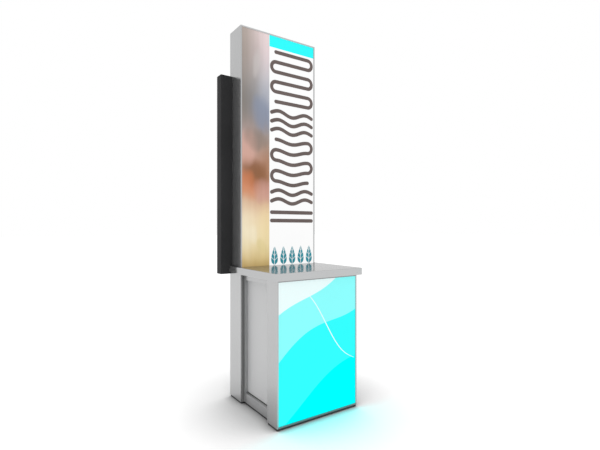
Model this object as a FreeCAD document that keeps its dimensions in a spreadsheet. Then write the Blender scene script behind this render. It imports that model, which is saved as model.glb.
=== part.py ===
"""Digital signage kiosk: a lit tower with a portrait display on its back and a counter in front.

Two slab light boxes of the same width, a tall one and a low one, are frames of one mitred
aluminium extrusion. A low cabinet side of two rails and a panel joins them left and right,
a folded metal counter top lies on it and wraps the tower, and the display's housing is
saddled over the tower's back edge. Lengths are millimetres. X runs to the right along the
front, Y into the depth, Z up, and the origin is the middle of the whole kiosk on the floor.
"""

import os

import FreeCAD
import Part
import Sketcher

# Driving sizes

SIZES = {
    # light box frames
    "tower_width": 650.0,
    "tower_depth": 174.0,
    "tower_height": 2670.0,
    "front_box_depth": 121.0,
    "front_box_height": 906.0,
    # extruded frame section
    "profile_width": 40.0,
    "profile_wall": 3.0,
    "profile_lip": 10.0,
    "channel_mouth": 8.0,
    "channel_width": 16.0,
    "channel_lip": 3.0,
    "channel_deep": 8.0,
    # sheets held in the grooves of the frames
    "panel_thickness": 4.0,
    "panel_clearance": 0.25,
    "panel_edge_clearance": 1.0,
    "picture_width": 226.0,
    "panel_seam": 0.5,
    "transom_height": 40.0,
    "mullion_width": 24.0,
    # cabinet sides between the two light boxes
    "rail_length": 352.0,
    "rail_inset": 25.0,
    "rail_width": 40.0,
    "rail_wall": 3.0,
    "top_rail_height": 42.0,
    "bottom_rail_height": 66.0,
    "side_panel_inset": 20.0,
    "side_panel_thickness": 6.0,
    "side_groove_depth": 12.0,
    "side_groove_clearance": 0.3,
    "cabinet_back_thickness": 3.0,
    "cabinet_floor_thickness": 3.0,
    "cabinet_floor_clearance": 0.5,
    "tower_slot": 16.0,
    "joint_strip_thickness": 3.0,
    "cross_rail_width": 40.0,
    "spacer_width": 60.0,
    "spacer_height": 36.0,
    "spacer_spread": 400.0,
    # plinths under the frames
    "plinth_height": 14.0,
    "plinth_inset": 4.0,
    # counter top
    "counter_thickness": 48.0,
    "counter_overhang": 26.0,
    "counter_skin": 3.0,
    "counter_edge_radius": 2.0,
    "counter_tower_clearance": 0.4,
    "counter_display_gap": 2.0,
    "counter_base_clearance": 0.3,
    # portrait display
    "display_width": 830.0,
    "display_height": 1444.0,
    "display_depth": 70.0,
    "display_drop": 9.0,
    "display_seat": 38.0,
    "display_seat_clearance": 0.5,
    "cover_wall": 3.0,
    "cover_corner_radius": 6.0,
    "bezel_depth": 12.0,
    "bezel_side": 14.0,
    "bezel_end": 8.0,
    "bezel_lip": 2.0,
    "bezel_rebate": 4.0,
    "glass_thickness": 5.0,
    "glass_clearance": 0.5,
    "mount_plate_width": 460.0,
    "mount_plate_height": 700.0,
    "mount_plate_thickness": 8.0,
    "mount_slot_length": 60.0,
    "mount_slot_width": 10.0,
    "vent_length": 40.0,
    "vent_width": 6.0,
    "vent_pitch": 54.0,
}
VENT_COUNT = 11


class Dim:
    """A length that knows its number and the sheet expression it comes from."""

    def __init__(self, number, text):
        self.number = float(number)
        self.text = text

    def __add__(self, other):
        other = dim(other)
        return Dim(self.number + other.number, f"({self.text} + {other.text})")

    def __sub__(self, other):
        other = dim(other)
        return Dim(self.number - other.number, f"({self.text} - {other.text})")

    def __mul__(self, factor):
        return Dim(self.number * factor, f"({self.text} * {factor})")

    def __truediv__(self, divisor):
        return Dim(self.number / divisor, f"({self.text} / {divisor})")

    def __neg__(self):
        return Dim(-self.number, f"(0 - {self.text})")

    __radd__ = __add__


def dim(value):
    """Give a plain number the same form as a size from the sheet."""
    return value if isinstance(value, Dim) else Dim(value, repr(float(value)))


class Sizes:
    """The sheet's sizes, one attribute for each alias."""

    def __init__(self, sheet):
        for row, (alias, number) in enumerate(SIZES.items(), start=1):
            sheet.set(f"A{row}", alias)
            sheet.set(f"B{row}", str(number))
            sheet.setAlias(f"B{row}", alias)
            setattr(self, alias, Dim(number, f"Sizes.{alias}"))


doc = FreeCAD.newDocument("signage_kiosk")
size_sheet = doc.addObject("Spreadsheet::Sheet", "Sizes")
s = Sizes(size_sheet)
doc.recompute()
pieces = []
ZERO = dim(0)

# Places that several pieces share

panel_groove = s.panel_thickness + s.panel_clearance * 2
ledge = s.profile_wall + panel_groove
overall_depth = (
    s.counter_overhang + s.front_box_depth + s.rail_length + s.cabinet_back_thickness
    + s.tower_slot + s.tower_depth - s.display_seat + s.display_depth
)
base_front = s.counter_overhang - overall_depth / 2
rails_front = base_front + s.front_box_depth
rails_back = rails_front + s.rail_length
cabinet_back = rails_back + s.cabinet_back_thickness
tower_front = cabinet_back + s.tower_slot
tower_back = tower_front + s.tower_depth
display_face = tower_back - s.display_seat
left_side = -(s.tower_width / 2)
right_side = s.tower_width / 2
base_top = s.plinth_height + s.front_box_height
tower_top = s.plinth_height + s.tower_height
display_bottom = base_top - s.display_drop
display_left = -(s.display_width / 2)
transom_bottom = base_top + s.counter_thickness / 2 - s.transom_height / 2

UPRIGHT = FreeCAD.Rotation()
TURNED_BACK = FreeCAD.Rotation(FreeCAD.Vector(0, 0, 1), 180)
LAID_RIGHT = FreeCAD.Rotation(FreeCAD.Vector(0, 1, 0), 90)
LAID_LEFT = FreeCAD.Rotation(FreeCAD.Vector(0, 1, 0), -90)


# Helpers for sketches, features and places

def bind(feature, name, length):
    """Tie one property of a feature to the sheet."""
    feature.setExpression(name, length.text)


def place(piece, x, y, z, rotation=UPRIGHT):
    """Put a piece at a point that the sheet gives, turned as told."""
    piece.Placement = FreeCAD.Placement(FreeCAD.Vector(x.number, y.number, z.number), rotation)
    for axis, length in zip("xyz", (x, y, z)):
        bind(piece, f"Placement.Base.{axis}", length)


def box(label, corner, extent):
    """A plain plate or block from its lowest corner and its extent along X, Y and Z."""
    block = doc.addObject("Part::Box", label)
    block.Label = label
    for name, length in zip(("Length", "Width", "Height"), extent):
        bind(block, name, length)
    place(block, *corner)
    return block


def piece_box(label, corner, extent):
    """A plain plate or block that is a piece of its own."""
    block = box(label, corner, extent)
    pieces.append(block)
    return block


def new_body(label):
    """A body that becomes one piece."""
    body = doc.addObject("PartDesign::Body", label)
    body.Label = label
    pieces.append(body)
    return body


def new_sketch(body, name, role, offset=None):
    """A sketch on one of the body's own planes, lifted off it by an offset if one is given."""
    sketch = body.newObject("Sketcher::SketchObject", f"{body.Label}_{name}")
    support = [plane for plane in body.Origin.OriginFeatures if plane.Role == role][0]
    sketch.AttachmentSupport = (support, [""])
    sketch.MapMode = "FlatFace"
    if offset is not None:
        sketch.AttachmentOffset = FreeCAD.Placement(
            FreeCAD.Vector(0, 0, offset.number), FreeCAD.Rotation())
        bind(sketch, "AttachmentOffset.Base.z", offset)
    return sketch


def outline(sketch, points):
    """Draw a closed outline of straight lines through points, each tied to the sheet."""
    first = sketch.GeometryCount
    count = len(points)
    for index, (x, y) in enumerate(points):
        next_x, next_y = points[(index + 1) % count]
        sketch.addGeometry(Part.LineSegment(
            FreeCAD.Vector(x.number, y.number, 0),
            FreeCAD.Vector(next_x.number, next_y.number, 0)), False)
    for index, (x, y) in enumerate(points):
        line = first + index
        following = first + (index + 1) % count
        sketch.addConstraint(Sketcher.Constraint("Coincident", line, 2, following, 1))
        for kind, axis, length in (("DistanceX", -2, x), ("DistanceY", -1, y)):
            if length.number == 0:
                sketch.addConstraint(Sketcher.Constraint("PointOnObject", line, 1, axis))
            else:
                number = sketch.addConstraint(
                    Sketcher.Constraint(kind, -1, 1, line, 1, length.number))
                bind(sketch, f"Constraints[{number}]", length)


def rectangle(sketch, x, y, width, height):
    """Draw a rectangle from its lower left corner."""
    outline(sketch, [(x, y), (x + width, y), (x + width, y + height), (x, y + height)])


def pad(body, sketch, length, backwards=False):
    """Extrude a sketch by a length, along its normal or backwards."""
    feature = body.newObject("PartDesign::Pad", f"{sketch.Name}_pad")
    feature.Profile = sketch
    bind(feature, "Length", length)
    feature.Reversed = backwards
    sketch.Visibility = False
    return feature


def pocket(body, sketch, length=None, backwards=False):
    """Cut a sketch out of the body by a length, or right through where none is given."""
    feature = body.newObject("PartDesign::Pocket", f"{sketch.Name}_pocket")
    feature.Profile = sketch
    if length is None:
        feature.Type = "ThroughAll"
    else:
        bind(feature, "Length", length)
    feature.Reversed = backwards
    sketch.Visibility = False
    return feature


def edges_where(shape, test):
    """Name the edges of a shape whose two ends both pass a test."""
    return [
        f"Edge{number}" for number, edge in enumerate(shape.Edges, start=1)
        if len(edge.Vertexes) == 2 and all(test(vertex.Point) for vertex in edge.Vertexes)
    ]


# Mitred frame extrusion, the section that both light boxes share

def frame_profile(label, depth, length, corner, rotation):
    """One side of a light box frame, its ends mitred at 45 degrees.

    The section is a hollow tube as deep as the box less its two grooves. Its outer wall runs
    on past the tube at the front and the back and turns in as a lip, so that a sheet slides
    into the groove between lip and tube. A T-shaped channel for the corner connectors opens
    in the middle of the inner wall, between two webs.
    """
    body = new_body(label)
    wall = s.profile_wall
    width = s.profile_width
    middle = depth / 2
    far = depth - ledge
    mouth_low = middle - s.channel_mouth / 2
    mouth_high = middle + s.channel_mouth / 2
    channel_low = middle - s.channel_width / 2
    channel_high = middle + s.channel_width / 2
    channel_front = width - s.channel_lip
    channel_back = channel_front - s.channel_deep

    section = new_sketch(body, "section", "XY_Plane")
    outline(section, [
        (ZERO, ZERO),
        (s.profile_lip, ZERO),
        (s.profile_lip, wall),
        (wall, wall),
        (wall, ledge),
        (width, ledge),
        (width, mouth_low),
        (channel_front, mouth_low),
        (channel_front, channel_low),
        (channel_back, channel_low),
        (channel_back, channel_high),
        (channel_front, channel_high),
        (channel_front, mouth_high),
        (width, mouth_high),
        (width, far),
        (wall, far),
        (wall, depth - wall),
        (s.profile_lip, depth - wall),
        (s.profile_lip, depth),
        (ZERO, depth),
    ])
    rectangle(section, wall, ledge + wall,
              width - wall * 2, channel_low - wall * 2 - ledge)
    rectangle(section, wall, channel_high + wall,
              width - wall * 2, far - wall * 2 - channel_high)
    rectangle(section, wall, channel_low,
              channel_back - wall * 2, s.channel_width)
    pad(body, section, length)

    mitres = new_sketch(body, "mitres", "XZ_Plane")
    outline(mitres, [(ZERO, ZERO), (width, ZERO), (width, width)])
    outline(mitres, [(ZERO, length), (width, length - width), (width, length)])
    pocket(body, mitres)
    place(body, *corner, rotation)
    return body


def light_box_frame(name, front, depth, height):
    """The four mitred sides of one light box, standing on the plinth."""
    bottom = s.plinth_height
    back = front + depth
    frame_profile(f"{name}_left_profile", depth, height, (left_side, front, bottom), UPRIGHT)
    frame_profile(f"{name}_right_profile", depth, height, (right_side, back, bottom), TURNED_BACK)
    frame_profile(f"{name}_top_profile", depth, s.tower_width,
                  (left_side, front, bottom + height), LAID_RIGHT)
    frame_profile(f"{name}_bottom_profile", depth, s.tower_width,
                  (right_side, front, bottom), LAID_LEFT)


light_box_frame("tower", tower_front, s.tower_depth, s.tower_height)
light_box_frame("front_box", base_front, s.front_box_depth, s.front_box_height)

# Sheets in the grooves of the light boxes

sheet_left = left_side + s.profile_wall + s.panel_edge_clearance
sheet_width = s.tower_width - (s.profile_wall + s.panel_edge_clearance) * 2
sheet_foot = s.plinth_height + s.profile_wall + s.panel_edge_clearance
groove_front = s.profile_wall + s.panel_clearance
groove_back = s.profile_wall + s.panel_clearance + s.panel_thickness
tower_sheet_top = tower_top - s.profile_wall - s.panel_edge_clearance
front_sheet_height = base_top - s.profile_wall - s.panel_edge_clearance - sheet_foot
sheet_split = transom_bottom + s.transom_height / 2
picture_right = left_side + s.profile_lip + s.picture_width

piece_box("tower_picture_panel",
          (sheet_left, tower_front + groove_front, sheet_split + s.panel_seam / 2),
          (picture_right - s.panel_seam / 2 - sheet_left, s.panel_thickness,
           tower_sheet_top - sheet_split - s.panel_seam / 2))
piece_box("tower_sign_panel",
          (picture_right + s.panel_seam / 2, tower_front + groove_front,
           sheet_split + s.panel_seam / 2),
          (sheet_left + sheet_width - picture_right - s.panel_seam / 2, s.panel_thickness,
           tower_sheet_top - sheet_split - s.panel_seam / 2))
piece_box("tower_lower_front_panel",
          (sheet_left, tower_front + groove_front, sheet_foot),
          (sheet_width, s.panel_thickness, sheet_split - s.panel_seam / 2 - sheet_foot))
piece_box("tower_back_panel",
          (sheet_left, tower_back - groove_back, sheet_foot),
          (sheet_width, s.panel_thickness, tower_sheet_top - sheet_foot))
piece_box("front_box_face_panel",
          (sheet_left, base_front + groove_front, sheet_foot),
          (sheet_width, s.panel_thickness, front_sheet_height))
piece_box("front_box_back_panel",
          (sheet_left, rails_front - groove_back, sheet_foot),
          (sheet_width, s.panel_thickness, front_sheet_height))


# Bars inside the tower, behind the joints of its sheets

def tube(label, corner, length, depth, height, wall, rotation):
    """A rectangular tube: depth and height are its section, length its run along local Z."""
    body = new_body(label)
    section = new_sketch(body, "section", "XY_Plane")
    rectangle(section, ZERO, ZERO, height, depth)
    rectangle(section, wall, wall, height - wall * 2, depth - wall * 2)
    pad(body, section, length)
    place(body, *corner, rotation)
    return body


tube("tower_transom",
     (left_side + s.profile_width, tower_front + ledge, transom_bottom + s.transom_height),
     s.tower_width - s.profile_width * 2, s.tower_depth - ledge * 2,
     s.transom_height, s.profile_wall, LAID_RIGHT)
tube("tower_mullion",
     (picture_right - s.mullion_width / 2, tower_front + ledge,
      transom_bottom + s.transom_height),
     tower_top - s.profile_width - transom_bottom - s.transom_height,
     s.mullion_width, s.mullion_width, s.profile_wall, UPRIGHT)


# Cabinet sides: grooved rails with a sheet between them

def side_rail(label, height, corner, rotation):
    """A hollow rail along the depth, with a groove for the side sheet in its edge."""
    body = new_body(label)
    wall = s.rail_wall
    groove_near = s.side_panel_inset - s.side_groove_clearance
    groove_far = (s.side_panel_inset + s.side_panel_thickness + s.side_groove_clearance)
    section = new_sketch(body, "section", "XY_Plane")
    outline(section, [
        (ZERO, ZERO),
        (groove_near, ZERO),
        (groove_near, s.side_groove_depth),
        (groove_far, s.side_groove_depth),
        (groove_far, ZERO),
        (s.rail_width, ZERO),
        (s.rail_width, height),
        (ZERO, height),
    ])
    rectangle(section, wall, s.side_groove_depth + wall,
              s.rail_width - wall * 2, height - s.side_groove_depth - wall * 2)
    pad(body, section, s.rail_length)
    place(body, *corner, rotation)
    return body


TOP_LEFT = FreeCAD.Rotation(FreeCAD.Vector(1, 0, 0), 90)
BOTTOM_LEFT = FreeCAD.Rotation(FreeCAD.Vector(1, 0, 0), -90)
TOP_RIGHT = FreeCAD.Rotation(FreeCAD.Vector(0, 1, 1), 180)
BOTTOM_RIGHT = FreeCAD.Rotation(FreeCAD.Vector(0, 1, -1), 180)

left_rail = left_side + s.rail_inset
right_rail = right_side - s.rail_inset
top_rail_foot = base_top - s.top_rail_height
bottom_rail_head = s.plinth_height + s.bottom_rail_height
side_rail("left_top_rail", s.top_rail_height, (left_rail, rails_back, top_rail_foot), TOP_LEFT)
side_rail("left_bottom_rail", s.bottom_rail_height,
          (left_rail, rails_front, bottom_rail_head), BOTTOM_LEFT)
side_rail("right_top_rail", s.top_rail_height,
          (right_rail, rails_front, top_rail_foot), TOP_RIGHT)
side_rail("right_bottom_rail", s.bottom_rail_height,
          (right_rail, rails_back, bottom_rail_head), BOTTOM_RIGHT)

side_sheet_foot = bottom_rail_head - s.side_groove_depth + s.side_groove_clearance
side_sheet_height = (top_rail_foot + s.side_groove_depth - s.side_groove_clearance
                     - side_sheet_foot)
for side, sheet_x in (
    ("left", left_rail + s.side_panel_inset),
    ("right", right_rail - s.side_panel_inset - s.side_panel_thickness),
):
    piece_box(f"{side}_side_panel", (sheet_x, rails_front, side_sheet_foot),
              (s.side_panel_thickness, s.rail_length, side_sheet_height))

# Sheet that closes the cabinet's back, flush with the rails' outer faces, and its floor

piece_box("cabinet_back_panel", (left_rail, rails_back, s.plinth_height),
          (right_rail - left_rail, s.cabinet_back_thickness, s.front_box_height))
floor_edge = s.side_panel_inset + s.side_panel_thickness + s.cabinet_floor_clearance
piece_box("cabinet_floor", (left_rail + floor_edge, rails_front, bottom_rail_head),
          (right_rail - left_rail - floor_edge * 2, s.rail_length, s.cabinet_floor_thickness))

# Cross rails between the side rails, and the blocks that hold the cabinet off the tower

cross_length = right_rail - left_rail - s.rail_width * 2
cross_front = rails_back - s.cross_rail_width
for level, rail_height, head in (
    ("top", s.top_rail_height, base_top),
    ("bottom", s.bottom_rail_height, bottom_rail_head),
):
    tube(f"rear_{level}_cross_rail", (left_rail + s.rail_width, cross_front, head),
         cross_length, s.cross_rail_width, rail_height, s.rail_wall, LAID_RIGHT)

slot_depth = s.tower_slot + groove_front
for side, centre in (("left", -(s.spacer_spread / 2)), ("right", s.spacer_spread / 2)):
    for level, middle in (
        ("top", top_rail_foot + s.top_rail_height / 2),
        ("bottom", s.plinth_height + s.bottom_rail_height / 2),
    ):
        piece_box(f"{side}_{level}_spacer",
                  (centre - s.spacer_width / 2, cabinet_back, middle - s.spacer_height / 2),
                  (s.spacer_width, slot_depth, s.spacer_height))

# Strips that close the slot between cabinet and tower, seen as its dark bottom

for side, strip_x in (("left", left_rail), ("right", right_rail - s.joint_strip_thickness)):
    piece_box(f"{side}_joint_strip", (strip_x, cabinet_back, s.plinth_height),
              (s.joint_strip_thickness, slot_depth, s.front_box_height))

# Plinths, a little smaller than what stands on them

for label, x, y, width, depth in (
    ("front_box_plinth", left_side, base_front, s.tower_width, s.front_box_depth),
    ("tower_plinth", left_side, tower_front, s.tower_width, s.tower_depth),
    ("left_rail_plinth", left_rail, rails_front, s.rail_width, s.rail_length),
    ("right_rail_plinth", right_rail - s.rail_width, rails_front, s.rail_width, s.rail_length),
):
    piece_box(label, (x + s.plinth_inset, y + s.plinth_inset, ZERO),
              (width - s.plinth_inset * 2, depth - s.plinth_inset * 2, s.plinth_height))


# Counter top: a folded tray, its underside closed by a sheet, notched for the tower

counter_width = s.tower_width + s.counter_overhang * 2
counter_depth = (display_face - s.counter_display_gap - base_front + s.counter_overhang)
notch_side = s.counter_overhang - s.counter_tower_clearance
notch_front = (tower_front - base_front + s.counter_overhang
               - s.counter_tower_clearance)


def notched_outline(sketch, inset):
    """The counter's plan, open at the back where the tower passes, drawn in by an inset."""
    outline(sketch, [
        (inset, inset) if inset.number else (ZERO, ZERO),
        (counter_width - inset, inset),
        (counter_width - inset, counter_depth - inset),
        (counter_width - notch_side + inset, counter_depth - inset),
        (counter_width - notch_side + inset, notch_front - inset),
        (notch_side - inset, notch_front - inset),
        (notch_side - inset, counter_depth - inset),
        (inset, counter_depth - inset),
    ])


tray = new_body("counter_top")
tray_plan = new_sketch(tray, "plan", "XY_Plane")
notched_outline(tray_plan, ZERO)
pad(tray, tray_plan, s.counter_thickness)
tray_inside = new_sketch(tray, "inside", "XY_Plane")
notched_outline(tray_inside, s.counter_skin)
tray_pocket = pocket(tray, tray_inside, s.counter_thickness - s.counter_skin, backwards=True)
place(tray, -(counter_width / 2), base_front - s.counter_overhang, base_top)
doc.recompute()
tray_rim = edges_where(
    tray_pocket.Shape,
    lambda point: abs(point.z - s.counter_thickness.number) < 0.01
    and (point.y < 0.01 or point.x < 0.01 or point.x > counter_width.number - 0.01))
tray_edge = tray.newObject("PartDesign::Fillet", "counter_top_edge")
tray_edge.Base = (tray_pocket, tray_rim)
bind(tray_edge, "Radius", s.counter_edge_radius)

underside = new_body("counter_underside")
underside_plan = new_sketch(underside, "plan", "XY_Plane")
notched_outline(underside_plan, s.counter_skin + s.counter_base_clearance)
pad(underside, underside_plan, s.counter_skin)
place(underside, -(counter_width / 2), base_front - s.counter_overhang, base_top)

# Display housing: a shell whose front is saddled over the tower's back edge

seat_width = s.tower_width + s.display_seat_clearance * 2
lobe = (s.display_width - seat_width) / 2
seat_depth = s.display_seat - groove_front + s.mount_plate_thickness
cover_depth = s.display_depth - s.bezel_depth
wall = s.cover_wall

cover = new_body("display_back_cover")
cover_plan = new_sketch(cover, "plan", "XY_Plane")
outline(cover_plan, [
    (ZERO, ZERO),
    (lobe, ZERO),
    (lobe, seat_depth),
    (lobe + seat_width, seat_depth),
    (lobe + seat_width, ZERO),
    (s.display_width, ZERO),
    (s.display_width, cover_depth),
    (ZERO, cover_depth),
])
cover_pad = pad(cover, cover_plan, s.display_height)
doc.recompute()
cover_corners = edges_where(
    cover_pad.Shape,
    lambda point: point.y < 0.01 and (point.x < 0.01 or point.x > s.display_width.number - 0.01))
cover_round = cover.newObject("PartDesign::Fillet", "display_back_cover_round")
cover_round.Base = (cover_pad, cover_corners)
bind(cover_round, "Radius", s.cover_corner_radius)
cover_inside = new_sketch(cover, "inside", "XY_Plane", offset=wall)
outline(cover_inside, [
    (wall, wall),
    (lobe - wall, wall),
    (lobe - wall, seat_depth + wall),
    (lobe + seat_width + wall, seat_depth + wall),
    (lobe + seat_width + wall, wall),
    (s.display_width - wall, wall),
    (s.display_width - wall, cover_depth),
    (wall, cover_depth),
])
pocket(cover, cover_inside, s.display_height - wall * 2, backwards=True)
vent_plan = new_sketch(cover, "vent", "XY_Plane")
vent_row = s.vent_pitch * (VENT_COUNT - 1)
rectangle(vent_plan, s.display_width / 2 - vent_row / 2 - s.vent_length / 2,
          (seat_depth + wall + cover_depth) / 2 - s.vent_width / 2,
          s.vent_length, s.vent_width)
vent = pocket(cover, vent_plan, backwards=True)
vents = cover.newObject("PartDesign::LinearPattern", "display_back_cover_vents")
vents.Originals = [vent]
vents.Direction = (vent_plan, ["H_Axis"])
bind(vents, "Length", vent_row)
vents.Occurrences = VENT_COUNT
cover.Tip = vents
place(cover, display_left, display_face, display_bottom)

bezel = new_body("display_bezel")
bezel_face = new_sketch(bezel, "face", "XZ_Plane")
rectangle(bezel_face, ZERO, ZERO, s.display_width, s.display_height)
window_width = s.display_width - s.bezel_side * 2
window_height = s.display_height - s.bezel_end * 2
rectangle(bezel_face, s.bezel_side, s.bezel_end, window_width, window_height)
pad(bezel, bezel_face, s.bezel_depth, backwards=True)
bezel_seat = new_sketch(bezel, "seat", "XZ_Plane")
rectangle(bezel_seat, s.bezel_side - s.bezel_rebate, s.bezel_end - s.bezel_rebate,
          window_width + s.bezel_rebate * 2, window_height + s.bezel_rebate * 2)
pocket(bezel, bezel_seat, s.bezel_depth - s.bezel_lip)
place(bezel, display_left, display_face + cover_depth, display_bottom)

piece_box("display_glass",
          (display_left + s.bezel_side - s.bezel_rebate + s.glass_clearance,
           display_face + s.display_depth - s.bezel_lip - s.glass_thickness,
           display_bottom + s.bezel_end - s.bezel_rebate + s.glass_clearance),
          (window_width + (s.bezel_rebate - s.glass_clearance) * 2, s.glass_thickness,
           window_height + (s.bezel_rebate - s.glass_clearance) * 2))

# Mounting plate between the tower's back sheet and the housing, with four fixing slots

display_centre = display_bottom + s.display_height / 2
plate = new_body("display_mount_plate")
plate_face = new_sketch(plate, "face", "XZ_Plane")
rectangle(plate_face, ZERO, ZERO, s.mount_plate_width, s.mount_plate_height)
slot_left = s.mount_plate_width / 5 - s.mount_slot_length / 2
slot_right = s.mount_plate_width * 4 / 5 - s.mount_slot_length / 2
slot_low = s.mount_plate_height / 8 - s.mount_slot_width / 2
slot_high = s.mount_plate_height * 7 / 8 - s.mount_slot_width / 2
for slot_x in (slot_left, slot_right):
    for slot_z in (slot_low, slot_high):
        rectangle(plate_face, slot_x, slot_z, s.mount_slot_length, s.mount_slot_width)
pad(plate, plate_face, s.mount_plate_thickness, backwards=True)
place(plate, -(s.mount_plate_width / 2), tower_back - groove_front,
      display_centre - s.mount_plate_height / 2)

# Check every object and write every piece

doc.recompute()
faults = [item.Name for item in doc.Objects if {"Invalid", "Error"} & set(item.State)]
for piece in pieces:
    if piece.Shape.isNull() or not piece.Shape.isValid():
        faults.append(piece.Label)
if faults:
    raise RuntimeError("these objects failed: " + ", ".join(faults))

os.makedirs("parts", exist_ok=True)
for piece in pieces:
    piece.Shape.exportStep(f"parts/{piece.Label}.step")
    bounds = piece.Shape.BoundBox
    print(f"{piece.Label:26s} solids {len(piece.Shape.Solids)}  volume {piece.Shape.Volume / 1000:9.1f} cm3"
          f"  x {bounds.XMin:8.1f} {bounds.XMax:8.1f}  y {bounds.YMin:8.1f} {bounds.YMax:8.1f}"
          f"  z {bounds.ZMin:8.1f} {bounds.ZMax:8.1f}")
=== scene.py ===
"""Looks of a free-standing signage kiosk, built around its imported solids.

A tall lit tower carries a portrait display on its back edge, a low lit box stands in front of
it, and a folded metal counter joins the two. The solids keep their shapes; this script gives
them their finishes and adds the cut films on the lit faces, the rubber gaskets and the joint
seals, each worked out with numpy and laid on the surface that carries it.
"""

import logging
import math
from dataclasses import dataclass
from enum import Enum
from typing import Callable

import bmesh
import bpy
import numpy as np
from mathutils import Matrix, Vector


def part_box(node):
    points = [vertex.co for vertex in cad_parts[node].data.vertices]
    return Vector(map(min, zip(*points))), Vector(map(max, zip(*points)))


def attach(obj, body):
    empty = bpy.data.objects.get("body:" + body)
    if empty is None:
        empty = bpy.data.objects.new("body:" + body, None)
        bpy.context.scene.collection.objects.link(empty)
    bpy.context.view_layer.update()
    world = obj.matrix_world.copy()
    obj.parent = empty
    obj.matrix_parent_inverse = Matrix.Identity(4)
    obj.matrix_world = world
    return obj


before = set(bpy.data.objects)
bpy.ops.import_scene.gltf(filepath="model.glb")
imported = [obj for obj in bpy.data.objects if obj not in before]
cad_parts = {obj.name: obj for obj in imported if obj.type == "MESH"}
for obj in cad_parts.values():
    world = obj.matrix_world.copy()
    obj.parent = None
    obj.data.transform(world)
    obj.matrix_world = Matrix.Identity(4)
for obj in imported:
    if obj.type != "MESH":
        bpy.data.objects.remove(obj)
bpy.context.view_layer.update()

log = logging.getLogger("kiosk")

Array = np.ndarray
Colour = tuple[float, float, float]
Point = tuple[float, float, float]
Curve = Callable[[Array], Array]
Socket = bpy.types.NodeSocket
Feed = Socket | float | tuple

BODY = "root"
MM = 0.001
WELD = 2e-6
END_STEPS = 8
FINE_STEPS = 4001
FILM_ROWS = 5
WHITE = (1.0, 1.0, 1.0)
SHADER_INPUTS = {
    "base": "Base Color",
    "metallic": "Metallic",
    "roughness": "Roughness",
    "gloss": "Specular IOR Level",
    "edge_shine": "Specular Tint",
    "glow": "Emission Color",
    "glow_strength": "Emission Strength",
}


def display_colour(red: float, green: float, blue: float) -> Colour:
    """Turn a colour as a screen shows it, 0 to 255, into the linear light that shaders take.

    Args:
        red: Red as shown, 0 to 255.
        green: Green as shown.
        blue: Blue as shown.

    Returns:
        The three linear parts, 0 to 1.
    """
    shown = np.array([red, green, blue]) / 255.0
    linear = np.where(shown <= 0.04045, shown / 12.92, ((shown + 0.055) / 1.055) ** 2.4)
    return tuple(float(part) for part in linear)


class Grain(Enum):
    """The way that a finish's fine streaks run."""

    ALONG_X = 0
    ALONG_Y = 1
    ALONG_Z = 2


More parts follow.
